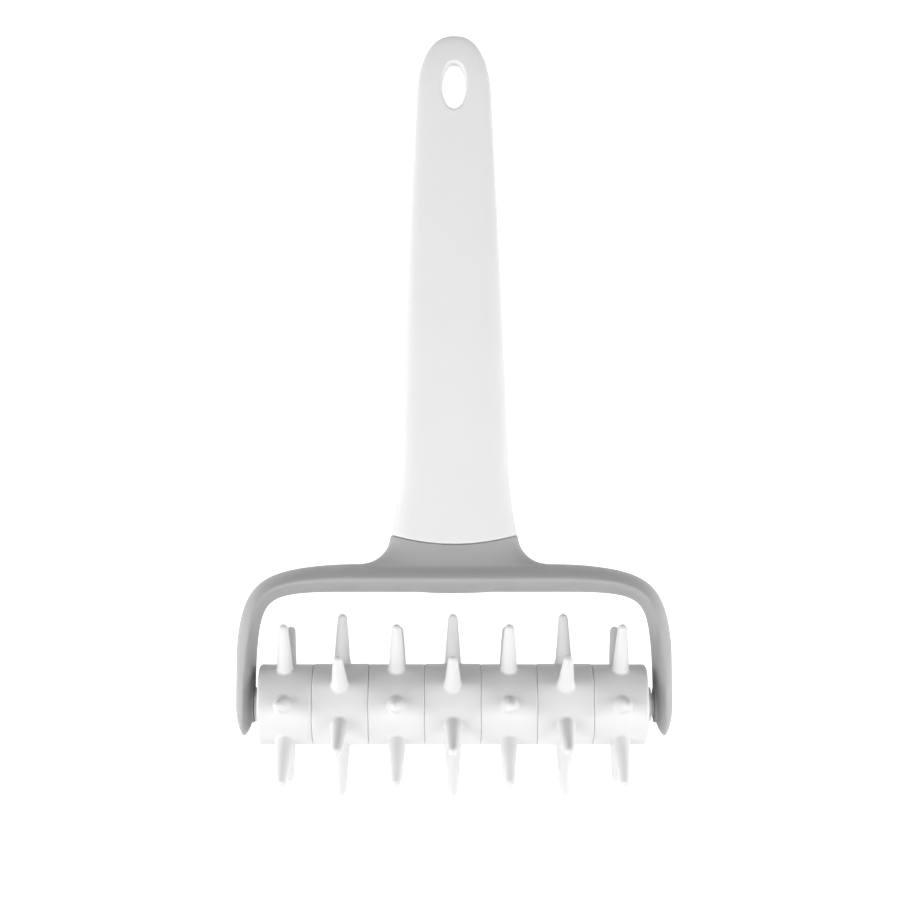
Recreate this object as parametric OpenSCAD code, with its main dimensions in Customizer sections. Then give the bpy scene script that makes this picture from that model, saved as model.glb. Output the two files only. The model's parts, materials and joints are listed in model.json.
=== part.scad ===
// Dough docker: spiked rings on a core that turns between the arms of a yoke,
// with a long grip pressed onto the yoke's tang. The tool lies on a table, on
// its lowest spikes and on the hanging end of the grip. Lengths are in mm.
// +X runs along the roller, +Y towards the hanging end, and +Z up.

/* [Rings] */
// Number of spiked rings on the core
ring_count = 7; // [3:1:9]
// Length of one ring along the roller
ring_l = 14.6; // [12:0.05:18]
// Length that each end ring is shorter than the others, on its outer side
end_trim = 0.45; // [0:0.05:1]
// Outer diameter of a ring
ring_d = 21.2; // [20:0.1:26]
// Depth of the slightly flattened faces between the spikes of a ring
face_dip = 0.12; // [0.05:0.01:0.3]
// Edge rounding where two rings meet
ring_edge = 0.35; // [0.2:0.05:0.8]
// Edge rounding at the two ends of the roller
end_edge = 0.8; // [0.6:0.1:1.6]

/* [Spikes] */
// Spikes round one ring
spike_count = 6; // [4:1:8]
// Distance from the roller axis to the spike tips
spike_reach = 23.7; // [20:0.1:28]
// Diameter of a spike where it leaves the ring
spike_root_d = 4.3; // [3.5:0.1:6]
// Diameter of a spike at half its height
spike_waist_d = 3.5; // [3.2:0.1:5]
// Diameter of the rounded spike tip
spike_tip_d = 2.5; // [2:0.1:3.2]

/* [Core] */
// Width across the flats of the hexagonal core
core_flats = 11; // [9:0.1:12]
// Diameter of the hollow inside the core
core_bore_d = 7.2; // [5:0.1:7.6]
// Diameter of the end flange and the end cap
flange_d = 14.8; // [14.4:0.1:16]
// Thickness of the end flange and the end cap
flange_t = 1.8; // [1:0.1:3]
// Length of the cap's spigot in the core
spigot_l = 10; // [5:0.5:14]
// Diameter of the collars that run against the arms
collar_d = 9; // [8:0.1:12]
// Length of a collar
collar_l = 1.2; // [0.6:0.1:2]
// Diameter of the journals that turn in the arms
journal_d = 6; // [4:0.1:7]
// Length of a journal beyond its collar
journal_l = 2.8; // [2:0.1:3]
// Distance that the roller lies off the middle, within its end play
roller_shift = -0.35; // [-0.4:0.05:0.4]

/* [Yoke] */
// Thickness of an arm across the tool
arm_t = 5; // [4.6:0.1:8]
// Height of the arms and the bar from front to back
arm_depth = 17.2; // [14:0.1:22]
// Length of the arms beyond the roller axis
arm_end = 8.1; // [6:0.1:10]
// Clear space between the spike tips and the bar
bar_gap = 5.8; // [3:0.1:12]
// Thickness of the cross bar
bar_t = 7.4; // [6:0.05:10]
// Distance of the crest from the inner edge at the arm's end, as a share of the arm's thickness
end_crest_share = 0.56; // [0.3:0.01:0.6]
// The same share in the upper half of the arm
arm_crest_share = 0.3; // [0.25:0.01:0.5]
// The same share of the bar's thickness
bar_crest_share = 0.41; // [0.3:0.01:0.5]
// Length over which the crest changes from one share to the other
crest_run = 24; // [16:0.5:30]
// Length of the inner corner curve along the bar
corner_in_x = 24.2; // [14:0.1:30]
// Length of the inner corner curve along the arm
corner_in_y = 29.5; // [20:0.1:30]
// Length of the outer corner curve along the arm
corner_out_y = 24.2; // [20:0.1:32]
// Straight length of the bar's outer edge between the corner and the neck's fillet
bar_flat = 0.3; // [0.2:0.1:8]
// Depth of the bulge in the bar's inner edge behind the neck
bulge = 0.37; // [0:0.01:0.8]
// Width of that bulge
bulge_w = 20; // [10:0.5:30]
// Fillet between the bar and the neck
neck_fillet = 6; // [4:0.5:7]
// Length of the neck from the bar to the seam's edge
neck_l = 7.5; // [7.05:0.05:14]

/* [Grip] */
// Length of the grip from the seam's edge to the hanging end
grip_l = 138; // [110:0.1:160]
// Width of the grip's sides at the seam, without the flare
grip_root_w = 30.4; // [29:0.1:34]
// Width that the sides run out to at the hanging end
grip_tip_w = 18.9; // [18:0.1:26]
// Extra width on each side where the grip flares to the seam
flare_w = 1.65; // [0.4:0.05:2]
// Length of that flare
flare_l = 17.8; // [16:0.1:30]
// Thickness of the grip at the seam
grip_root_t = 10.8; // [10.4:0.1:14]
// Thickness that the faces run out to at the hanging end
grip_tip_t = 3.9; // [3.6:0.1:8]
// Length of the rounded hanging end
end_round = 18; // [10:0.5:24]
// Depth of the curve of the seam
seam_dip = 2.6; // [1.5:0.1:3]

/* [Tang] */
// Width of the tang inside the grip
tang_w = 21; // [16:0.1:22]
// Thickness of the tang
tang_t = 5.8; // [4.8:0.1:6]
// Length of the tang beyond the seam's edge
tang_l = 48; // [30:0.5:56]
// Width of the hollow beyond the tang
hollow_w = 12; // [8:0.1:13]
// Thickness of the hollow beyond the tang
hollow_t = 3.4; // [3:0.1:3.8]
// Solid length from the hollow to the hanging end
hollow_stop = 36.5; // [30:0.5:50]

/* [Hanging hole] */
// Width of the oval hole
hole_w = 6.5; // [5:0.1:8]
// Length of the oval hole
hole_l = 13.3; // [8:0.1:14]
// Rounding of the hole's rims
hole_flare = 0.9; // [0.4:0.1:1.2]
// Distance from the hole's centre to the hanging end
hole_back = 14.65; // [12:0.05:18]

/* [Hidden] */

// Clearances and fits, each on one side
end_play = 0.5;
journal_play = 0.07;
journal_end_gap = 0.6;
core_fit = 0.1;
flange_fit = 0.15;
spigot_grip = 0.02;
tang_fit = 0.15;
tang_grip = 0.05;
bead_fit = 0.1;

// Small sizes that are moulded into the pieces
arm_straight = 0.6;
boss_d = 9.6;
journal_chamfer = 0.5;
spigot_chamfer = 0.6;
core_floor = 3;
spike_sink = 1.5;
parting_half = 0.15;
rib_r = 0.8;
rib_end = 6;
bead_r = 1.2;
bead_proud = 0.5;
bead_w = 14;
bead_back = 5;
tang_end_gap = 1;
overrun = 1;

// Exponents of the curved outlines and sections, and the sharpness of the neck's blend
section_n = 1.7;
corner_in_end_n = 3.64;
corner_in_mid_n = 5.23;
corner_out_end_n = 2.35;
corner_out_mid_n = 3.18;
arm_end_n = 1.65;
grip_n = 3.6;
side_n = 1.17;
end_n = 2.4;
taper_n = 1.5;
neck_n = 1.8;
blend_n = 10;
neck_ridge_share = 0.9;

// Smoothness
$fn = 72;
tip_steps = 5;
arm_steps = 3;
corner_steps = 12;
fillet_steps = 5;
neck_steps = 2;
seam_steps = 5;
side_steps = 8;
grip_sides = 44;
grip_steps = 20;
end_steps = 8;
hole_sides = 40;
hole_steps = 4;
tilt_steps = 40;
steepest_tilt = 30;
tip_turn = 80;
end_turn = 84;

// Sizes along the roller
roller_end = ring_count * ring_l / 2 - end_trim;
roller_l = 2 * roller_end;
collar_face = roller_end + collar_l;
arm_in = collar_face + end_play;
arm_out = arm_in + arm_t;
end_crest = mix(arm_in, arm_out, end_crest_share);
journal_end = collar_face + journal_l;
socket_floor = journal_end + journal_end_gap;
core_corners = core_flats / cos(30);
stagger = 180 / spike_count;

// Sizes along the handle, measured from the roller axis
bar_in = spike_reach + bar_gap;
bar_out = bar_in + bar_t;
bar_crest = mix(bar_in, bar_out, bar_crest_share);
seam_edge = bar_out + neck_l;
seam_low = seam_edge - seam_dip;
neck_over = seam_edge + 2 * overrun;
grip_end = seam_edge + grip_l;
round_start = grip_end - end_round;
hole_y = grip_end - hole_back;
tang_end = seam_edge + tang_l;
hollow_end = grip_end - hollow_stop;
ridge_h = arm_depth / 2 - parting_half;
tip_r = spike_tip_d / 2;

function mix(a, b, t) = a + (b - a) * t;
function unit_arch(s, n) = pow(max(0, 1 - pow(min(1, abs(s)), n)), 1 / n);
function corner_point(a, end_n, mid_n) =
    let (n = mix(end_n, mid_n, sin(2 * a))) [pow(cos(a), 2 / n), pow(sin(a), 2 / n)];
function signed_pow(v, n) = sign(v) * pow(abs(v), n);
function oval_point(a, n) = [signed_pow(cos(a), 2 / n), signed_pow(sin(a), 2 / n)];

// Half width and half thickness of the grip and the neck at y
function end_arch(y) = unit_arch(max(0, (y - round_start) / end_round), end_n);
function side_w(y) = mix(grip_root_w, grip_tip_w, pow(max(0, (y - seam_edge) / grip_l), side_n));
function flare(y) = flare_w * pow(max(0, 1 - (y - seam_edge) / flare_l), 2);
function fillet(y) =
    let (rise = min(neck_fillet, max(0, bar_out + neck_fillet - y)))
    neck_fillet - sqrt(pow(neck_fillet, 2) - pow(rise, 2));
function half_w(y) = (side_w(y) / 2 + flare(y) + fillet(y)) * end_arch(y);
function grip_half_t(y) =
    mix(grip_root_t, grip_tip_t, pow(max(0, (y - seam_low) / (grip_end - seam_low)), taper_n)) / 2;
function neck_half_t(y) =
    mix(grip_root_t / 2, neck_ridge_share * ridge_h, pow((seam_low - y) / (seam_low - bar_crest), neck_n));
function half_t(y) = (y > seam_low ? grip_half_t(y) : neck_half_t(max(y, bar_crest))) * end_arch(y);
function face_z(x, y) = half_t(y) * unit_arch(x / half_w(y), grip_n);

// Lengths of the corner curves, kept within the bar and the arm that they join
corner_out_x = arm_out - half_w(bar_out) - bar_flat;
corner_in_w = min(corner_in_x, arm_in - bulge_w / 2);
corner_in_l = min(corner_in_y, bar_in - arm_straight);
corner_out_l = min(corner_out_y, bar_out - arm_straight);

// Inner edge of the bar at x, and height of the yoke's face over the bar and the neck at [x, y]
function inner_y(x) = bar_in - bulge * max(0, 1 - pow(2 * x / bulge_w, 2));
function bar_arch(x, y) =
    unit_arch((y - bar_crest) / (y > bar_crest ? bar_out - bar_crest : bar_crest - inner_y(x)), section_n);
function neck_z(x, y) = y > bar_crest ? face_z(x, y) : face_z(x, bar_crest) * bar_arch(x, y);
function blend(a, b) = pow(pow(a, blend_n) + pow(b, blend_n), 1 / blend_n);
function yoke_z(x, y) = blend(ridge_h * bar_arch(x, y), neck_z(x, y));

// Stations along the right half of the yoke, from the arm's tip to the centre.
// Each one is [inner point, outer point, share at the crest, share of the height].
// Over the bar and the neck the height comes from yoke_z, so that share is zero.
function crest_share(y) = mix(end_crest_share, arm_crest_share, min(1, (y + arm_end) / crest_run));
function tip_station(a) =
    let (reach = unit_arch(sin(a), arm_end_n), low = -arm_end * sin(a))
    [
        [mix(end_crest, arm_in, reach), low],
        [mix(end_crest, arm_out, reach), low],
        crest_share(low), cos(a)
    ];
function arm_station(t) =
    let (inner = t * (bar_in - corner_in_l))
    [
        [arm_in, inner],
        [arm_out, t * (bar_out - corner_out_l)],
        crest_share(inner), 1
    ];
function corner_station(a) =
    let (
        inner = corner_point(a, corner_in_end_n, corner_in_mid_n),
        outer = corner_point(a, corner_out_end_n, corner_out_mid_n),
        inner_end = bar_in - corner_in_l * (1 - inner[1])
    )
    [
        [arm_in - corner_in_w * (1 - inner[0]), inner_end],
        [arm_out - corner_out_x * (1 - outer[0]), bar_out - corner_out_l * (1 - outer[1])],
        mix(crest_share(inner_end), bar_crest_share, a / 90), 1
    ];
function centre_outline() = [
    [half_w(bar_out), bar_out],
    for (i = [1:fillet_steps])
        let (y = bar_out + neck_fillet * (1 - cos(90 * i / fillet_steps))) [half_w(y), y],
    for (i = [1:neck_steps])
        let (y = mix(bar_out + neck_fillet, neck_over, i / neck_steps)) [half_w(y), y],
    for (i = [1:seam_steps]) [half_w(neck_over) * (1 - i / seam_steps), neck_over]
];
function centre_station(outer, i, n) =
    let (x = (arm_in - corner_in_w) * (1 - i / n), low = inner_y(x))
    [[x, low], outer, (bar_crest - low) / (outer[1] - low), 0];
half_stations = [
    for (i = [tip_steps:-1:1]) tip_station(tip_turn * i / tip_steps),
    for (i = [0:arm_steps]) arm_station(i / arm_steps),
    for (i = [1:corner_steps]) corner_station(90 * i / corner_steps),
    for (line = centre_outline(), n = len(centre_outline()), i = 0; i < n; i = i + 1)
        centre_station(line[i], i + 1, n)
];

// Closed ring of points over one station, front face first. The places across
// it crowd towards its two edges and its crest.
function crest_arch(p, crest) =
    unit_arch(p < crest ? (crest - p) / crest : (p - crest) / (1 - crest), section_n);
function across_place(i, crest) =
    let (s = (1 - cos(180 * i / side_steps)) / 2) s * (i < 0 ? crest : 1 - crest) * sign(i) + crest;
function station_face(s) = [
    for (i = [-side_steps:side_steps])
        let (
            p = across_place(i, s[2]),
            at = mix(s[0], s[1], p),
            z = s[3] > 0 ? ridge_h * s[3] * crest_arch(p, s[2]) : yoke_z(at[0], at[1])
        )
        [at[0], at[1], parting_half + z]
];
function station_ring(s, side) =
    let (face = station_face(s), n = len(face))
    concat(
        [for (p = face) [side * p[0], p[1], p[2]]],
        [for (i = [n - 1:-1:0]) [side * face[i][0], face[i][1], -face[i][2]]]
    );

// Closed skin over equal rings of points, with a fan to a middle point at each end
module skin(rings, first, last) {
    n = len(rings[0]);
    m = len(rings);
    points = concat([for (ring = rings) each ring], [first, last]);
    walls = [
        for (i = [0:m - 2]) for (j = [0:n - 1])
            let (a = i * n + j, b = i * n + (j + 1) % n)
            each [[a, a + n, b], [b, a + n, b + n]]
    ];
    fans = [
        for (j = [0:n - 1])
            let (k = (j + 1) % n)
            each [[n * m, j, k], [n * m + 1, n * (m - 1) + k, n * (m - 1) + j]]
    ];
    polyhedron(points = points, faces = concat(walls, fans), convexity = 6);
}

// The grip's stations and the lie of the tool on the table
grip_stations = concat(
    [seam_low - overrun],
    [for (i = [0:grip_steps]) mix(seam_low, round_start, i / grip_steps)],
    [for (i = [1:end_steps]) round_start + end_round * sin(end_turn * i / end_steps)]
);
spike_angles = [for (i = [0:spike_count - 1], turn = [0, stagger]) i * 360 / spike_count + turn];
function spike_drop(tilt) = (spike_reach - tip_r) * max([for (a = spike_angles) -cos(a + tilt)]) + tip_r;
function grip_drop(tilt) = max([for (y = grip_stations) y * sin(tilt) + half_t(y) * cos(tilt)]);
function lying(low, high, n) =
    let (middle = (low + high) / 2)
    n == 0 ? middle :
    grip_drop(middle) > spike_drop(middle) ? lying(low, middle, n - 1) : lying(middle, high, n - 1);
tilt = lying(0, steepest_tilt, tilt_steps);
spike_y = (spike_reach - tip_r) * max([for (a = spike_angles) -sin(a + tilt)]) + tip_r;
grip_y = max(concat(
    [for (y = grip_stations) y * cos(tilt) + half_t(y) * sin(tilt)],
    [grip_end * cos(tilt)]
));
axis_y = (spike_y - grip_y) / 2;
axis_z = spike_drop(tilt);

module lie_down() {
    translate([0, axis_y, axis_z]) rotate([-tilt, 0, 0]) children();
}
module roller_place() {
    lie_down() translate([roller_shift, 0, 0]) children();
}

// Everything on the grip's side of the curved seam
module grip_side() {
    half_seam = half_w(seam_edge);
    seam_r = (pow(half_seam, 2) + pow(seam_dip, 2)) / (2 * seam_dip);
    translate([0, seam_low + seam_r, 0]) {
        cylinder(r = seam_r, h = 2 * arm_depth, center = true, $fn = 180);
        translate([-seam_r, 0, -arm_depth]) cube([2 * seam_r, grip_end, 2 * arm_depth]);
    }
}

// One bar with its middle on the Y axis, from y0 to y1
module bar_y(w, t, y0, y1) {
    translate([-w / 2, y0, -t / 2]) cube([w, y1 - y0, t]);
}

// Rounded bead across the tang, or its groove in the grip
module tang_bead(r, w) {
    for (side = [-1, 1])
        translate([0, tang_end - bead_back, side * (tang_t / 2 - bead_r + bead_proud)])
            rotate([0, 90, 0]) cylinder(r = r, h = w, center = true);
}

module crush_ribs() {
    rib_z = tang_t / 2 + tang_fit + tang_grip - rib_r;
    for (side = [-1, 1], face = [-1, 1])
        translate([side * tang_w / 3, seam_edge + rib_end, face * rib_z])
            rotate([-90, 0, 0]) cylinder(r = rib_r, h = tang_l - 2 * rib_end);
}

module yoke() {
    color("darkgray") lie_down() difference() {
        union() {
            difference() {
                skin(
                    concat(
                        [for (s = half_stations) station_ring(s, 1)],
                        [for (i = [len(half_stations) - 2:-1:0]) station_ring(half_stations[i], -1)]
                    ),
                    [end_crest, -arm_end, 0],
                    [-end_crest, -arm_end, 0]
                );
                grip_side();
            }
            bar_y(tang_w, tang_t, bar_crest, tang_end);
            crush_ribs();
            tang_bead(bead_r, bead_w);
            for (side = [-1, 1])
                translate([side * arm_in, 0, 0]) rotate([0, side * 90, 0])
                    cylinder(d = boss_d, h = arm_t / 2);
        }
        for (side = [-1, 1])
            translate([side * (arm_in - overrun), 0, 0]) rotate([0, side * 90, 0])
                cylinder(r = journal_d / 2 + journal_play, h = socket_floor - arm_in + overrun);
    }
}

// Oval ring of the hanging hole, grown outwards and lifted off the face
function hole_ring(grow, lift, face) = [
    for (i = [0:hole_sides - 1])
        let (
            a = face * 360 * i / hole_sides,
            x = (hole_w / 2 + grow) * cos(a),
            y = hole_y + (hole_l / 2 + grow) * sin(a)
        )
        [x, y, face * (face_z(x, y) + lift)]
];
module hanging_hole() {
    for (face = [-1, 1])
        skin(
            concat(
                [[for (p = hole_ring(0, 0, face)) [p[0], p[1], -face * overrun / 2]]],
                [for (i = [0:hole_steps])
                    let (a = 90 * i / hole_steps)
                    hole_ring(hole_flare * (1 - cos(a)), -hole_flare * (1 - sin(a)), face)],
                [hole_ring(hole_flare, overrun, face)]
            ),
            [0, hole_y, -face * overrun / 2],
            [0, hole_y, face * (half_t(hole_y) + overrun)]
        );
}

module grip() {
    color("whitesmoke") lie_down() difference() {
        intersection() {
            skin(
                [for (y = grip_stations) [for (i = [0:grip_sides - 1])
                    let (p = oval_point(-360 * i / grip_sides, grip_n))
                    [half_w(y) * p[0], y, half_t(y) * p[1]]]],
                [0, grip_stations[0], 0],
                [0, grip_end, 0]
            );
            grip_side();
        }
        bar_y(tang_w + 2 * tang_fit, tang_t + 2 * tang_fit, bar_crest, tang_end + tang_end_gap);
        bar_y(hollow_w, hollow_t, tang_end, hollow_end);
        tang_bead(bead_r + bead_fit, bead_w + 2 * bead_fit);
        hanging_hole();
    }
}

// Flange at the roller's end, with its collar and its journal along Z
module flange() {
    translate([0, 0, roller_end - flange_t]) cylinder(d = flange_d, h = flange_t);
    translate([0, 0, roller_end]) cylinder(d = collar_d, h = collar_l);
    translate([0, 0, collar_face]) cylinder(d = journal_d, h = journal_l - journal_chamfer);
    translate([0, 0, journal_end - journal_chamfer])
        cylinder(d1 = journal_d, d2 = journal_d - 2 * journal_chamfer, h = journal_chamfer);
}

module core_shaft() {
    color("gainsboro") roller_place() rotate([0, 90, 0]) {
        difference() {
            translate([0, 0, -roller_end + flange_t])
                cylinder(d = core_corners, h = roller_l - 2 * flange_t, $fn = 6);
            translate([0, 0, -roller_end])
                cylinder(d = core_bore_d, h = roller_l - flange_t - core_floor);
        }
        flange();
    }
}

module end_cap() {
    color("gainsboro") roller_place() rotate([0, -90, 0]) {
        flange();
        translate([0, 0, roller_end - flange_t - spigot_l]) {
            cylinder(
                d1 = core_bore_d - 2 * spigot_chamfer,
                d2 = core_bore_d + 2 * spigot_grip,
                h = spigot_chamfer
            );
            translate([0, 0, spigot_chamfer])
                cylinder(d = core_bore_d + 2 * spigot_grip, h = spigot_l - spigot_chamfer);
        }
    }
}

// Spike that stands up along Z from the roller axis
module spike() {
    root = ring_d / 2;
    tip = spike_reach - tip_r;
    waist = (root + tip) / 2;
    translate([0, 0, root - spike_sink]) cylinder(d = spike_root_d, h = spike_sink);
    translate([0, 0, root]) cylinder(d1 = spike_root_d, d2 = spike_waist_d, h = waist - root);
    translate([0, 0, waist]) cylinder(d1 = spike_waist_d, d2 = spike_tip_d, h = tip - waist);
    translate([0, 0, tip]) sphere(d = spike_tip_d);
}

// Drum of one ring about the X axis, from low to high, with its own rounding at each end
module drum(low, high, low_edge, high_edge) {
    rotate([0, 90, 0]) rotate_extrude() {
        translate([0, low + low_edge]) square([ring_d / 2, high - low - low_edge - high_edge]);
        for (end = [[low + low_edge, -1, low_edge], [high - high_edge, 1, high_edge]])
            translate([0, end[0]]) {
                translate([0, min(0, end[1] * end[2])]) square([ring_d / 2 - end[2], end[2]]);
                intersection() {
                    translate([ring_d / 2 - end[2], 0]) circle(r = end[2]);
                    translate([0, -end[2]]) square([ring_d / 2, 2 * end[2]]);
                }
            }
    }
}

// Slightly flattened faces between the spikes, each part of a larger cylinder
module ring_faces() {
    middle = ring_d / 2 - face_dip;
    off = (pow(ring_d / 2, 2) - pow(middle, 2)) / (2 * (middle - ring_d / 2 * cos(stagger)));
    intersection_for (k = [0:spike_count - 1])
        rotate([stagger + k * 2 * stagger, 0, 0]) translate([0, 0, -off]) rotate([0, 90, 0])
            cylinder(r = middle + off, h = ring_l + 2 * overrun, center = true);
}

// One of the rings: the bore is a star of two hexagons, so that a ring slides
// on with its spikes in line with its neighbour's or halfway between them
module ring(i) {
    first = i == 1;
    last = i == ring_count;
    low = -ring_l / 2 + (first ? end_trim : 0);
    high = ring_l / 2 - (last ? end_trim : 0);
    bore_corners = (core_flats + 2 * core_fit) / cos(30);
    recess_r = flange_d / 2 + flange_fit;
    color("white") roller_place() translate([(i - (ring_count + 1) / 2) * ring_l, 0, 0])
        rotate([i % 2 == 0 ? -stagger : 0, 0, 0]) difference() {
            union() {
                intersection() {
                    drum(low, high, first ? end_edge : ring_edge, last ? end_edge : ring_edge);
                    ring_faces();
                }
                for (k = [0:spike_count - 1]) rotate([-360 * k / spike_count, 0, 0]) spike();
            }
            for (turn = [0, stagger])
                rotate([turn, 0, 0]) rotate([0, 90, 0])
                    cylinder(d = bore_corners, h = ring_l + 2 * overrun, center = true, $fn = 6);
            if (first || last)
                translate([last ? high - flange_t : low + flange_t, 0, 0])
                    rotate([0, last ? 90 : -90, 0]) cylinder(r = recess_r, h = flange_t + overrun);
        }
}

yoke();
grip();
core_shaft();
end_cap();
for (i = [1:ring_count]) ring(i);
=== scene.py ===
"""Dough docker: seven spiked rings on a core that turns in a yoke, with a long
tapered grip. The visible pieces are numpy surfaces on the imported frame.
Lengths are in mm until a mesh is made, and in metres after that."""
import json
from math import atan2, cos, pi, radians, sin

import bpy
import numpy as np
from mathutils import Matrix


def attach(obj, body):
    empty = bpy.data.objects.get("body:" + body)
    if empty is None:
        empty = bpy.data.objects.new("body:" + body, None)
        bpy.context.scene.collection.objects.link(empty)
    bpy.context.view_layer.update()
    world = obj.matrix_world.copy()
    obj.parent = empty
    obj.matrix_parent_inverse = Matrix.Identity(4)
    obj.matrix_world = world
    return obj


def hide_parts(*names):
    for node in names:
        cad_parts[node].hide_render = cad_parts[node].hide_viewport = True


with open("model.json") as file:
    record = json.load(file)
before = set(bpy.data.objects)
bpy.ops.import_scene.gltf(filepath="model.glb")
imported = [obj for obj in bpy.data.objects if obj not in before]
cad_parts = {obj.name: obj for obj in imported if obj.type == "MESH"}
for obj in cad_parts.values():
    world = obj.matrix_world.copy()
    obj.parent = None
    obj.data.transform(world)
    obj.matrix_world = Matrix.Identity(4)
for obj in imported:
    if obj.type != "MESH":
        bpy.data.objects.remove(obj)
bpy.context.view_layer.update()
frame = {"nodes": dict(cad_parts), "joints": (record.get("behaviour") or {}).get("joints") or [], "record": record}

MM = 0.001
AXIS = np.array(frame["joints"][0]["pos_m"]) / MM
HOLE_AXIS = frame["record"]["mounts"][0]["axis"]
TILT = atan2(HOLE_AXIS[1], HOLE_AXIS[2])

# Rings
RINGS, RING_L, RING_R, RING_GAP, FACE_DIP = 7, 14.6, 10.6, 0.05, 0.12
RING_EDGE, END_EDGE, END_TRIM = 0.35, 0.8, 0.45
BORE_R, RECESS_R, RECESS_L = 6.6, 7.55, 1.8
ROLLER_SHIFT = -0.35

# Spikes. The foot runs in under the ring's faces, narrower and lower.
SPIKES, SPIKE_REACH = 6, 23.7
ROOT_R, WAIST_R, TIP_R, ROOT_FILLET = 2.15, 1.75, 1.25, 0.5
FOOT_IN, FOOT_DOWN, FOOT_DEPTH = 0.3, 0.8, 2

# Yoke, in the handle's own plane: x along the roller, y towards the hanging end
ARM_IN, ARM_OUT, ARM_DEPTH, PARTING = 52.35, 57.35, 17.2, 0.15
ARM_END, ARM_END_N = 8.1, 1.65
END_SHARE, ARM_SHARE, BAR_SHARE, CREST_RUN = 0.56, 0.3, 0.41, 24
BAR_IN, BAR_OUT, BULGE, BULGE_W, BAR_FLAT = 29.5, 36.9, 0.37, 20, 0.3
CORNER_IN_X, CORNER_IN_Y, CORNER_IN_N = 24.2, 28.9, (3.64, 5.23)
CORNER_OUT_Y, CORNER_OUT_N = 24.2, (2.35, 3.18)
NECK_FILLET, NECK_N, NECK_RIDGE = 6, 1.8, 0.9
SECTION_N, BLEND_N = 1.7, 10
RIDGE_H = ARM_DEPTH / 2 - PARTING
END_CREST = ARM_IN + END_SHARE * (ARM_OUT - ARM_IN)
BAR_CREST = BAR_IN + BAR_SHARE * (BAR_OUT - BAR_IN)

# Pad inside each arm. The rim's middle point lies this far in from its corner.
BOSS_R, BOSS_BORE_R, BOSS_SUNK, BOSS_EDGE, BOSS_EDGE_MID = 4.8, 3.2, 2.2, 0.3, 0.09

# Grip and the curved seam where it meets the neck
SEAM_EDGE, SEAM_DIP, GRIP_L = 44.4, 2.6, 138
ROOT_W, TIP_W, FLARE_W, FLARE_L = 30.4, 18.9, 1.65, 17.8
GRIP_T, END_T, END_ROUND = 10.8, 3.9, 18
GRIP_N, SIDE_N, TAPER_N, END_N = 3.6, 1.17, 1.5, 2.4
SEAM_LOW, GRIP_END = SEAM_EDGE - SEAM_DIP, SEAM_EDGE + GRIP_L
ROUND_START = GRIP_END - END_ROUND
SEAM_GAP, GRIP_LIP, NECK_LIP, BEND_RUN = 0.1, 0.45, 0.3, 30
HOLE_Y, HOLE_W, HOLE_L, HOLE_FLARE = 167.75, 6.5, 13.3, 0.9

# Points round each closed form
GRIP_AROUND, BOSS_AROUND, RING_AROUND, SPIKE_AROUND = 176, 64, 144, 32


# Shapes

def mix(a, b, t):
    return a + (b - a) * t


def unit_arch(s, n):
    """Quarter of a superellipse: (1 - s to the n) to the 1/n."""
    return np.maximum(0, 1 - np.minimum(1, np.abs(s)) ** n) ** (1 / n)


def signed_pow(v, n):
    return np.sign(v) * np.abs(v) ** n


def fillet(y):
    """Extra half width of the fillet between the bar and the neck: a circle of
    radius NECK_FILLET that is tangent to the bar's outer edge."""
    rise = np.clip(BAR_OUT + NECK_FILLET - y, 0, NECK_FILLET)
    return NECK_FILLET - np.sqrt(NECK_FILLET ** 2 - rise ** 2)


def end_arch(y):
    return unit_arch(np.maximum(0, (y - ROUND_START) / END_ROUND), END_N)


def half_w(y):
    """Half width: sides that run in as a power of y, plus a squared flare at
    the seam and the fillet, all times the arch of the rounded end."""
    side = mix(ROOT_W, TIP_W, np.maximum(0, (y - SEAM_EDGE) / GRIP_L) ** SIDE_N) / 2
    flare = FLARE_W * np.maximum(0, 1 - (y - SEAM_EDGE) / FLARE_L) ** 2
    return (side + flare + fillet(y)) * end_arch(y)


def half_t(y):
    """Half thickness: from the neck's crest down to the seam by one power of
    y, then from the seam to the hanging end by another."""
    y = np.maximum(y, BAR_CREST)
    t = np.maximum(0, (y - SEAM_LOW) / (GRIP_END - SEAM_LOW)) ** TAPER_N
    grip = mix(GRIP_T, END_T, t) / 2
    n = np.maximum(0, (SEAM_LOW - y) / (SEAM_LOW - BAR_CREST)) ** NECK_N
    neck = mix(GRIP_T / 2, NECK_RIDGE * RIDGE_H, n)
    return np.where(y > SEAM_LOW, grip, neck) * end_arch(y)


def face_z(x, y):
    return half_t(y) * unit_arch(x / half_w(y), GRIP_N)


SEAM_HALF = float(half_w(SEAM_EDGE))
SEAM_R = (SEAM_HALF ** 2 + SEAM_DIP ** 2) / (2 * SEAM_DIP)


def seam_rise(x):
    """How far the seam's arc has risen above its lowest point at x."""
    return SEAM_R - np.sqrt(SEAM_R ** 2 - np.minimum(np.abs(x), SEAM_HALF) ** 2)


def turned(points, angle):
    """Points turned about the x axis, from z towards y."""
    x, y, z = np.moveaxis(points, -1, 0)
    c, s = cos(angle), sin(angle)
    return np.stack([x, y * c + z * s, z * c - y * s], -1)


def lay(points):
    """Handle plane to the table: turned down by TILT about the roller axis."""
    return turned(points, TILT) + AXIS


# Meshes

def quads_of(index, wrap_rows=False):
    """Quads between neighbouring rows of a table of point numbers; each row
    closes on itself, and with wrap_rows the last row joins the first."""
    low = index if wrap_rows else index[:-1]
    high = np.roll(index, -1, 0) if wrap_rows else index[1:]
    return np.stack([low, np.roll(low, -1, 1), np.roll(high, -1, 1), high], -1).reshape(-1, 4)


def round_turn(n):
    """Angles of n even steps round a circle."""
    return 2 * pi * np.arange(n) / n


def fan(row, tip):
    """Triangles from every edge of a closed row of point numbers to one point."""
    return np.stack([row, np.roll(row, -1), np.full(len(row), tip)], -1)


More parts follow.
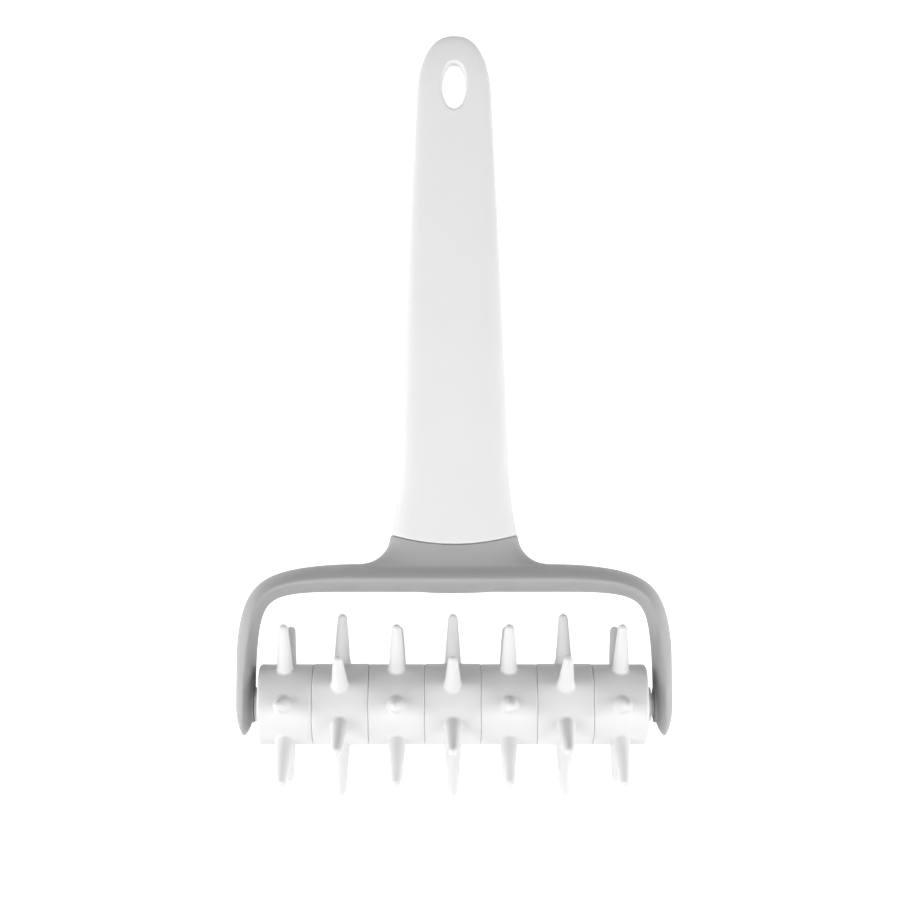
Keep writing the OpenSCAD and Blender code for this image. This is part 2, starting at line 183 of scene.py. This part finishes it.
def volume(points, quads, tris):
    """Signed volume of a closed surface: the sum of its corner tetrahedra."""
    t = np.concatenate([quads[:, [0, 1, 2]], quads[:, [0, 2, 3]], tris])
    a, b, c = points[t[:, 0]], points[t[:, 1]], points[t[:, 2]]
    return np.einsum("ij,ij->i", a, np.cross(b, c)).sum() / 6


def outward(points, quads, tris):
    """The shell with its faces turned to point outwards."""
    if volume(points, quads, tris) < 0:
        quads, tris = quads[:, ::-1], tris[:, ::-1]
    return points, quads, tris


def closed_skin(loops, first=None, last=None):
    """Shell over rows of points, with a fan to a point at each end, or rolled
    up into a ring where no end points are given."""
    m, n = loops.shape[:2]
    index = np.arange(m * n).reshape(m, n)
    points = loops.reshape(-1, 3)
    if first is None:
        return outward(points, quads_of(index, True), np.zeros((0, 3), int))
    points = np.concatenate([points, [first, last]])
    tris = np.concatenate([fan(index[0][::-1], m * n), fan(index[-1], m * n + 1)])
    return outward(points, quads_of(index), tris)


def joined(shells):
    """Several shells as one list of points and faces."""
    points, quads, tris, base = [], [], [], 0
    for p, q, t in shells:
        points.append(p)
        quads.append(q + base)
        tris.append(t + base)
        base += len(p)
    return np.concatenate(points), np.concatenate(quads), np.concatenate(tris)


def placed(name, data):
    """New object in the scene."""
    thing = bpy.data.objects.new(name, data)
    bpy.context.scene.collection.objects.link(thing)
    return thing


def make_piece(name, shell, body, node, material):
    """Smooth-shaded mesh object in metres that stands for one node."""
    points, quads, tris = shell
    mesh = bpy.data.meshes.new(name)
    mesh.from_pydata((points * MM).tolist(), [], quads.tolist() + tris.tolist())
    mesh.validate()
    mesh.shade_smooth()
    mesh.materials.append(material)
    piece = placed(name, mesh)
    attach(piece, body)
    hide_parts(node)
    return piece


# Grip

# Window in each face round the hole: half its length, and the angle round the
# section at which its sides start
HOLE_SPAN, HOLE_SIDE = 9.3, radians(43)
LIP_STEPS, GRIP_STEPS, END_STEPS, END_TURN = 6, 129, 35, radians(89)
HOLE_FACE_STEPS, HOLE_RIM_STEPS, BEND_PASSES = 8, 7, 8


def grip_rows():
    """Station and inset of each loop: a quarter round at the seam, even steps
    along the grip, and steps of equal angle over the rounded end."""
    lip = np.linspace(0, pi / 2, LIP_STEPS + 1)
    start = SEAM_LOW + SEAM_GAP / 2
    plain = np.linspace(start + GRIP_LIP, ROUND_START, GRIP_STEPS + 1)[1:]
    turn = np.linspace(0, END_TURN, END_STEPS + 1)[1:]
    tip = ROUND_START + END_ROUND * np.sin(turn) ** (2 / END_N)
    y = np.concatenate([start + GRIP_LIP * (1 - np.cos(lip)), plain, tip])
    inset = np.concatenate([GRIP_LIP * (1 - np.sin(lip)), np.zeros(len(plain) + len(tip))])
    return y, inset


def grip_loops():
    """Superellipse sections. Near the seam each loop is bent along y to
    follow the seam's arc, and the bend fades out over BEND_RUN. The width
    depends on y and y on the width, so a few passes settle them."""
    station, inset = (v[:, None] for v in grip_rows())
    turn = round_turn(GRIP_AROUND)
    across = signed_pow(np.cos(turn), 2 / GRIP_N)
    up = signed_pow(np.sin(turn), 2 / GRIP_N)
    t = np.clip((station - SEAM_LOW) / BEND_RUN, 0, 1)
    fade = (1 - t) ** 2 * (1 + 2 * t)
    y = station + 0 * across
    for _ in range(BEND_PASSES):
        x = np.maximum(0, half_w(y) - inset) * across
        y = station + fade * seam_rise(x)
    return np.stack([x, y, np.maximum(0, half_t(y) - inset) * up], -1)


def hole_tube(outer):
    """Loops from a frame of points on the front face to the oval rim, over a
    quarter round, through the grip and out the same way on the back."""
    x, y = outer[:, 0], outer[:, 1]
    a = np.arctan2((y - HOLE_Y) / HOLE_L, x / HOLE_W)

    def oval(grow):
        return (HOLE_W / 2 + grow) * np.cos(a), HOLE_Y + (HOLE_L / 2 + grow) * np.sin(a)

    front = []
    for t in np.linspace(0, 1, HOLE_FACE_STEPS + 1)[1:]:
        rim_x, rim_y = oval(HOLE_FLARE)
        px, py = mix(x, rim_x, t), mix(y, rim_y, t)
        front.append(np.stack([px, py, face_z(px, py)], -1))
    for b in np.linspace(pi / 2, 0, HOLE_RIM_STEPS + 1)[1:]:
        px, py = oval(HOLE_FLARE * (1 - cos(b)))
        front.append(np.stack([px, py, face_z(px, py) - HOLE_FLARE * (1 - sin(b))], -1))
    wall = [front[-1] * (1, 1, 1 - t) for t in (0.25, 0.5, 0.75, 1)]
    half = front + wall
    return np.array(half + [row * (1, 1, -1) for row in half[-2::-1]])


def grip_shell():
    """The loops' skin with a window cut in each face, and the hole's tube
    sewn between the two windows."""
    loops = grip_loops()
    m, n = loops.shape[:2]
    index = np.arange(m * n).reshape(m, n)
    rows = np.flatnonzero(np.abs(loops[:, 0, 1] - HOLE_Y) < HOLE_SPAN)
    r0, r1 = rows[0], rows[-1]
    c0 = int(round(HOLE_SIDE / (2 * pi) * n))
    c1 = n // 2 - c0
    front = np.concatenate([
        index[r0, c0:c1], index[r0:r1, c1], index[r1, c1:c0:-1], index[r1:r0:-1, c0]])
    back = front // n * n + (n - front % n) % n
    i, j = np.meshgrid(np.arange(m - 1), np.arange(n), indexing="ij")
    in_front, in_back = (j >= c0) & (j < c1), (j >= n - c1) & (j < n - c0)
    window = (i >= r0) & (i < r1) & (in_front | in_back)
    skin = quads_of(index)[~window.ravel()]
    tube = hole_tube(loops.reshape(-1, 3)[front])
    base = m * n
    inner = base + np.arange(len(tube) * len(front)).reshape(len(tube), -1)
    sewn = quads_of(np.concatenate([front[None], inner, back[None]]))
    points = np.concatenate([loops.reshape(-1, 3), tube.reshape(-1, 3)])
    ends = [[0, loops[0, n // 4, 1], 0], [0, GRIP_END, 0]]
    tris = np.concatenate([fan(index[0][::-1], len(points)), fan(index[-1], len(points) + 1)])
    points = np.concatenate([points, ends])
    if volume(points, skin, tris) < 0:
        skin, tris = skin[:, ::-1], tris[:, ::-1]
    a, b, c = points[sewn[0, :3]]
    if np.cross(b - a, c - a)[2] < 0:
        sewn = sewn[:, ::-1]
    return points, np.concatenate([skin, sewn]), tris


# Yoke

SIDE_STEPS, ARM_END_STEPS, ARM_STEPS, CORNER_STEPS = 24, 30, 8, 60
FILLET_STEPS, NECK_STEPS, SEAM_STEPS, ARM_END_TURN = 16, 5, 27, 88.5


def inner_y(x):
    return BAR_IN - BULGE * np.maximum(0, 1 - (2 * x / BULGE_W) ** 2)


def crest_arch(p, crest):
    """Height of the yoke's pointed oval at a place across it: 0 at the inner
    edge and the outer edge, and 1 at the crest, which lies nearer the inner."""
    away = np.where(p < crest, (crest - p) / crest, (p - crest) / (1 - crest))
    return unit_arch(away, SECTION_N)


def yoke_z(x, y):
    """Height over the bar and the neck: the larger of the bar's pointed oval
    and the neck's face, rounded together by a high power mean. The last bit
    before the seam drops as a quarter round."""
    part = np.where(y > BAR_CREST, BAR_OUT - BAR_CREST, BAR_CREST - inner_y(x))
    arch = unit_arch((y - BAR_CREST) / part, SECTION_N)
    neck = face_z(x, y) * np.where(y > BAR_CREST, 1, arch)
    z = ((RIDGE_H * arch) ** BLEND_N + neck ** BLEND_N) ** (1 / BLEND_N)
    left = (SEAM_LOW - SEAM_GAP / 2 + seam_rise(x) - y) / NECK_LIP
    return z - NECK_LIP * (1 - unit_arch(1 - np.clip(left, 0, 1), 2))


def corner_point(a, exponents):
    """Unit superellipse at angle a. Its exponent is the first one at both
    ends of the corner and the second one in its middle."""
    n = mix(exponents[0], exponents[1], np.sin(2 * a))
    return np.cos(a) ** (2 / n), np.sin(a) ** (2 / n)


def crest_share(y):
    """How far across the arm its crest lies: near the middle at the arm's end
    and nearer the inner edge higher up."""
    return mix(END_SHARE, ARM_SHARE, np.minimum(1, (y + ARM_END) / CREST_RUN))


def arm_end():
    """Stations round the arm's end: inner x and y, outer x and y, share at
    the crest, and share of the full height."""
    a = np.radians(np.linspace(ARM_END_TURN, 0, ARM_END_STEPS))
    reach = unit_arch(np.sin(a), ARM_END_N)
    low = -ARM_END * np.sin(a)
    return np.stack([
        mix(END_CREST, ARM_IN, reach), low, mix(END_CREST, ARM_OUT, reach), low,
        crest_share(low), np.cos(a)], -1)


def arm_and_corner():
    """Stations up the arm and round the corner."""
    t = np.linspace(0, 1, ARM_STEPS + 1)[1:]
    inner = t * (BAR_IN - CORNER_IN_Y)
    arm = np.stack([
        0 * t + ARM_IN, inner, 0 * t + ARM_OUT, t * (BAR_OUT - CORNER_OUT_Y),
        crest_share(inner), 0 * t + 1], -1)
    a = np.linspace(0, pi / 2, CORNER_STEPS + 1)[1:]
    (ci, si), (co, so) = corner_point(a, CORNER_IN_N), corner_point(a, CORNER_OUT_N)
    corner_out_x = ARM_OUT - float(half_w(BAR_OUT)) - BAR_FLAT
    inner = BAR_IN - CORNER_IN_Y * (1 - si)
    corner = np.stack([
        ARM_IN - CORNER_IN_X * (1 - ci), inner,
        ARM_OUT - corner_out_x * (1 - co), BAR_OUT - CORNER_OUT_Y * (1 - so),
        mix(crest_share(inner), BAR_SHARE, 2 * a / pi), 0 * a + 1], -1)
    return np.concatenate([arm, corner])


def bar_and_neck():
    """Stations over the bar to the middle, whose outer points run round the
    fillet, up the neck's side and along the seam. Their height is yoke_z."""
    curve = BAR_OUT + NECK_FILLET * (1 - np.cos(np.linspace(0, pi / 2, FILLET_STEPS + 1)))
    edge = SEAM_EDGE - SEAM_GAP / 2
    side = np.concatenate([curve, np.linspace(curve[-1], edge, NECK_STEPS + 1)[1:]])
    seam_x = np.linspace(float(half_w(edge)), 0, SEAM_STEPS + 1)[1:]
    out_x = np.concatenate([half_w(side), seam_x])
    out_y = np.concatenate([side, SEAM_LOW - SEAM_GAP / 2 + seam_rise(seam_x)])
    in_x = (ARM_IN - CORNER_IN_X) * (1 - np.arange(1, len(out_x) + 1) / len(out_x))
    in_y = inner_y(in_x)
    return np.stack([in_x, in_y, out_x, out_y, (BAR_CREST - in_y) / (out_y - in_y), 0 * in_x], -1)


def yoke_shell():
    """Loops across the stations, front face then back face, crowded at the
    edges and the crest."""
    stations = np.concatenate([arm_end(), arm_and_corner(), bar_and_neck()])
    x0, y0, x1, y1, crest, height = (v[:, None] for v in stations.T)
    s = (1 - np.cos(np.linspace(0, pi, SIDE_STEPS + 1))) / 2
    p = np.concatenate([crest * (1 - s[:0:-1]), crest + (1 - crest) * s], 1)
    x, y = mix(x0, x1, p), mix(y0, y1, p)
    z = np.where(height > 0, RIDGE_H * height * crest_arch(p, crest), yoke_z(x, y)) + PARTING
    front = np.stack([x, y, z], -1)
    right = np.concatenate([front, front[:, ::-1] * (1, 1, -1)], 1)
    loops = np.concatenate([right, right[-2::-1] * (-1, 1, 1)])
    tip = np.array([END_CREST, -ARM_END, 0])
    return closed_skin(loops, tip, tip * (-1, 1, 1))


def boss_shell(side):
    """Round pad inside an arm that stands level with its inner edge: a lathe
    profile about the roller axis with a rounded rim, sunk into the arm."""
    deep = ARM_IN + BOSS_SUNK
    profile = np.array([
        [deep, BOSS_BORE_R], [ARM_IN, BOSS_BORE_R], [ARM_IN, BOSS_R - BOSS_EDGE],
        [ARM_IN + BOSS_EDGE_MID, BOSS_R - BOSS_EDGE_MID], [ARM_IN + BOSS_EDGE, BOSS_R],
        [deep, BOSS_R]])
    turn = round_turn(BOSS_AROUND)
    return closed_skin(np.stack([
        side * profile[:, :1] + 0 * turn,
        profile[:, 1:] * np.cos(turn), profile[:, 1:] * np.sin(turn)], -1))


# Rings

BODY_STEPS, ROOT_STEPS, SHAFT_STEPS, TIP_STEPS = 11, 7, 13, 8
FACE_MID = RING_R - FACE_DIP
FACE_OFF = (RING_R ** 2 - FACE_MID ** 2) / (2 * (FACE_MID - RING_R * cos(pi / SPIKES)))


def face_r(turn):
    """Radius at an angle from a spike: the arc of a larger circle whose
    centre lies behind the axis, opposite the middle of the face."""
    a = np.mod(turn, 2 * pi / SPIKES) - pi / SPIKES
    arc = np.sqrt((FACE_MID + FACE_OFF) ** 2 - (FACE_OFF * np.sin(a)) ** 2)
    return arc - FACE_OFF * np.cos(a)


def ring_end(side, outer):
    """One end of a ring's outline, from its rounded edge in to the bore. An
    outer end has the recess of an end ring."""
    half = RING_L / 2 - END_TRIM if outer else (RING_L - RING_GAP) / 2
    edge, steps = (END_EDGE, 10) if outer else (RING_EDGE, 6)
    rows = [[half - edge * (1 - sin(a)), edge * (1 - cos(a)), 1]
            for a in np.linspace(0, pi / 2, steps)]
    if outer:
        floor = half - RECESS_L
        rows += [[half, RECESS_R, 0], [floor, RECESS_R, 0], [floor, BORE_R, 0]]
    else:
        rows += [[half, BORE_R, 0]]
    return [[side * x, r, faced] for x, r, faced in rows]


def ring_profile(first, last):
    """Station along the roller and radius of the outline: bore, end face,
    rounded edge, and the same on the other end. Where the last column is 1,
    the radius is cut from the faces' radius."""
    low, high = ring_end(-1, first), ring_end(1, last)
    body = np.linspace(low[0][0], high[0][0], BODY_STEPS + 1)[1:-1]
    return np.array(low[::-1] + [[x, 0, 1] for x in body] + high)


def ring_body(first, last):
    profile = ring_profile(first, last)
    turn = round_turn(RING_AROUND)
    x, cut, faced = (profile[:, k:k + 1] for k in range(3))
    r = np.where(faced > 0, face_r(turn) - cut, cut)
    return closed_skin(np.stack([x + 0 * turn, r * np.sin(turn), r * np.cos(turn)], -1))


def spike_shell(angle):
    """Tapered spike: a concave fillet that follows the ring's faces, a shaft
    whose radius falls as a quadratic, and a round tip. Rows go round the
    spike's own axis, which points up before it is turned to its angle."""
    turn = round_turn(SPIKE_AROUND)
    rows = []

    def ground(radius):
        """Height of the ring's faces on a circle round the spike."""
        side = np.abs(radius * np.sin(turn))
        reach = side + FACE_OFF * sin(pi / SPIKES)
        return np.sqrt((FACE_MID + FACE_OFF) ** 2 - reach ** 2) - FACE_OFF * cos(pi / SPIKES)

    def row(radius, height):
        rows.append(np.stack([
            radius * np.cos(turn), radius * np.sin(turn), height + 0 * turn], -1))

    outer = ROOT_R + ROOT_FILLET
    row(outer - FOOT_IN, ground(outer) - FOOT_DOWN)
    for a in np.linspace(0, pi / 2, ROOT_STEPS + 1):
        r = ROOT_R + ROOT_FILLET * (1 - sin(a))
        row(r, ground(r) + ROOT_FILLET * (1 - cos(a)))
    tip = SPIKE_REACH - TIP_R
    foot = ground(ROOT_R) + ROOT_FILLET
    bend = 2 * (ROOT_R + TIP_R - 2 * WAIST_R)
    for t in np.linspace(0, 1, SHAFT_STEPS + 1)[1:]:
        height = mix(foot, tip, t)
        s = (height - RING_R) / (tip - RING_R)
        row(mix(ROOT_R, TIP_R, s) - bend * s * (1 - s), height)
    for a in np.linspace(0, pi / 2, TIP_STEPS + 1)[1:-1]:
        row(TIP_R * cos(a), tip + TIP_R * sin(a))
    points, quads, tris = closed_skin(
        np.array(rows), [0, 0, RING_R - FOOT_DEPTH], [0, 0, SPIKE_REACH])
    return turned(points, angle), quads, tris


def ring_shell(i):
    """Ring i with its spikes; the even rings stand half a step round."""
    stagger = 0 if i % 2 else pi / SPIKES
    shells = [ring_body(i == 1, i == RINGS)]
    shells += [spike_shell(2 * pi * k / SPIKES) for k in range(SPIKES)]
    points, quads, tris = joined(shells)
    along = (i - (RINGS + 1) / 2) * RING_L + ROLLER_SHIFT
    return lay(turned(points, stagger) + (along, 0, 0)), quads, tris


# Materials

def linear(hex_colour):
    """sRGB hex to the linear colour that shaders take."""
    srgb = [int(hex_colour[k:k + 2], 16) / 255 for k in (0, 2, 4)]
    return [c / 12.92 if c <= 0.04045 else ((c + 0.055) / 1.055) ** 2.4 for c in srgb] + [1]


def empty_tree(owner):
    """The node tree of a material or world, with nothing in it."""
    owner.use_nodes = True
    owner.node_tree.nodes.clear()
    return owner.node_tree


def add(tree, kind, sockets=None, **settings):
    """Adds a node, sets its properties, and sets or links its inputs."""
    node = tree.nodes.new("ShaderNode" + kind)
    for key, value in settings.items():
        setattr(node, key, value)
    for key, value in (sockets or {}).items():
        if isinstance(value, bpy.types.NodeSocket):
            tree.links.new(value, node.inputs[key])
        else:
            node.inputs[key].default_value = value
    return node


CLOUD_MM, DRIFT_MM, NOISE_LOW, NOISE_HIGH = 15, 6, 0.3, 0.7


def moulded(name, pale, deep, shine, grain_mm, grain_depth_mm, ior=1.5):
    """Injection-moulded plastic: a hardly visible, broad cloudiness of the
    colour, a gloss that drifts with the mould's polish over a shorter way,
    and the fine matt grain of the spark-eroded mould."""
    material = bpy.data.materials.new(name)
    tree = empty_tree(material)
    place = add(tree, "TexCoord").outputs["Object"]
    cloud = add(tree, "TexNoise", {
        "Vector": place, "Scale": 1 / (CLOUD_MM * MM), "Detail": 2.0})
    colour = add(tree, "Mix", {
        "Factor": cloud.outputs["Fac"], "A": linear(pale), "B": linear(deep)}, data_type="RGBA")
    drift = add(tree, "TexNoise", {
        "Vector": place, "Scale": 1 / (DRIFT_MM * MM), "Detail": 4.0})
    gloss = add(tree, "MapRange", {
        "Value": drift.outputs["Fac"], "From Min": NOISE_LOW, "From Max": NOISE_HIGH,
        "To Min": shine[0], "To Max": shine[1]})
    grain = add(tree, "TexNoise", {
        "Vector": place, "Scale": 1 / (grain_mm * MM), "Detail": 2.0})
    bump = add(tree, "Bump", {
        "Height": grain.outputs["Fac"], "Strength": 1.0, "Distance": grain_depth_mm * MM})
    shader = add(tree, "BsdfPrincipled", {
        "Base Color": colour.outputs[2], "Roughness": gloss.outputs["Result"],
        "Normal": bump.outputs["Normal"], "IOR": ior})
    add(tree, "OutputMaterial", {"Surface": shader.outputs["BSDF"]})
    return material


# Grip: opaque white polypropylene, moulded in a lightly polished mould. It
# shows a broad satin highlight and a grain that is only just felt.
GRIP_WHITE = moulded(
    "white_polypropylene_satin_moulded", "EEEEEE", "EAEAEA", (0.34, 0.42), 0.6, 0.004)
# Yoke: light grey ABS, moulded matt, so its highlight is wide and dull.
YOKE_GREY = moulded(
    "light_grey_abs_matt_moulded", "AFAFAF", "ABABAB", (0.46, 0.56), 0.5, 0.006)
# Rings: white polyethylene, moulded smooth so that dough lets go of it, with
# a soft gloss.
RING_WHITE = moulded(
    "white_polyethylene_gloss_moulded", "EAEAEA", "E6E6E6", (0.44, 0.52), 0.7, 0.003)
# Core: natural acetal, moulded, a little darker and slick where it turns.
CORE_WHITE = moulded(
    "natural_acetal_slick_moulded", "E2E2E0", "DCDCDA", (0.22, 0.3), 0.8, 0.002, 1.48)


# Assembly

points, quads, tris = grip_shell()
make_piece("grip_moulding", (lay(points), quads, tris), "handle", "grip", GRIP_WHITE)

points, quads, tris = joined([yoke_shell(), boss_shell(1), boss_shell(-1)])
make_piece("yoke_moulding", (lay(points), quads, tris), "handle", "yoke", YOKE_GREY)

for i in range(1, RINGS + 1):
    make_piece(f"spiked_ring_{i}", ring_shell(i), "roller", f"ring_{i}", RING_WHITE)

for node in ("core_shaft", "end_cap"):
    mesh = frame["nodes"][node].data
    mesh.materials.clear()
    mesh.materials.append(CORE_WHITE)


# Studio

FLOOR_HALF, FLOOR_GLOW = 3.0, 0.85
corners = [(-1, -1), (1, -1), (1, 1), (-1, 1)]
floor_mesh = bpy.data.meshes.new("floor")
floor_mesh.from_pydata(
    [(FLOOR_HALF * x, FLOOR_HALF * y, 0) for x, y in corners], [], [(0, 1, 2, 3)])
floor = placed("floor", floor_mesh)

# White card: a plain pale diffuse surface for the light, lifted to pure white
# for the camera and in reflections, so that no shadow shows on it.
card = bpy.data.materials.new("white_paper_card")
tree = empty_tree(card)
path = add(tree, "LightPath")
seen = add(tree, "Math", {
    0: path.outputs["Is Camera Ray"], 1: path.outputs["Is Glossy Ray"]}, operation="MAXIMUM")
plain = add(tree, "BsdfDiffuse", {"Color": linear("DEDEDE")})
glow = add(tree, "Emission", {"Color": (1, 1, 1, 1), "Strength": FLOOR_GLOW})
lifted = add(tree, "AddShader", {0: plain.outputs["BSDF"], 1: glow.outputs["Emission"]})
both = add(tree, "MixShader", {
    0: seen.outputs[0], 1: plain.outputs["BSDF"], 2: lifted.outputs["Shader"]})
add(tree, "OutputMaterial", {"Surface": both.outputs["Shader"]})
floor_mesh.materials.append(card)

# World: no light of its own, and plain white where the camera looks past the
# card
world = bpy.data.worlds.new("studio_room")
bpy.context.scene.world = world
tree = empty_tree(world)
path = add(tree, "LightPath")
room = add(tree, "Background", {"Color": (1, 1, 1, 1), "Strength": 0.0})
white = add(tree, "Background", {"Color": (1, 1, 1, 1), "Strength": 1.0})
both = add(tree, "MixShader", {
    0: path.outputs["Is Camera Ray"], 1: room.outputs["Background"],
    2: white.outputs["Background"]})
add(tree, "OutputWorld", {"Surface": both.outputs["Shader"]})

LAMP_AWAY, LAMP_SIZE = 1.2, 0.6


def softbox(name, azimuth, elevation, watts):
    """Square area light that looks at the middle of the tool from a compass
    direction (0 is +X, 90 is +Y) and a height above the table, in degrees."""
    light = bpy.data.lights.new(name, "AREA")
    light.shape, light.size, light.energy = "SQUARE", LAMP_SIZE, watts
    lamp = placed(name, light)
    a, e = radians(azimuth), radians(elevation)
    level, height = LAMP_AWAY * cos(e), LAMP_AWAY * sin(e)
    lamp.location = (level * cos(a), level * sin(a), height)
    lamp.rotation_euler = (pi / 2 - e, 0, a + pi / 2)


softbox("front_softbox", -90, 25, 1.0)
softbox("front_high_softbox", -90, 50, 0.9)
softbox("overhead_softbox", 90, 85, 1.4)
softbox("back_softbox", 90, 50, 0.8)
for side, azimuth, low, high in (("left", 180, 6.8, 4.0), ("right", 0, 6.6, 2.7)):
    softbox(side + "_low_softbox", azimuth, 10, low)
    softbox(side + "_high_softbox", azimuth, 45, high)
for side, azimuth, low, high in (("left", -135, 1.8, 3.3), ("right", -45, 2.0, 2.9)):
    softbox("front_" + side + "_low_softbox", azimuth, 20, low)
    softbox("front_" + side + "_high_softbox", azimuth, 50, high)

# Camera: straight above the table. Its distance, place and scale come from
# the spike tips and outline of the photograph, which is 900 pixels wide.
PHOTO_PX, AXIS_PX, MIDDLE_PX, PX_PER_MM = 900, 704.3, 454.2, 3.80
STAND_OFF, SENSOR = 470, 36
camera = placed("camera", bpy.data.cameras.new("camera"))
camera.data.sensor_width = SENSOR
camera.data.lens = PX_PER_MM * STAND_OFF / PHOTO_PX * SENSOR
camera.location = (AXIS + [
    -(MIDDLE_PX - PHOTO_PX / 2) / PX_PER_MM, (AXIS_PX - PHOTO_PX / 2) / PX_PER_MM,
    STAND_OFF]) * MM
camera.data.clip_start, camera.data.clip_end = 0.01, 20
bpy.context.scene.camera = camera

bpy.context.scene.view_settings.view_transform = "Standard"
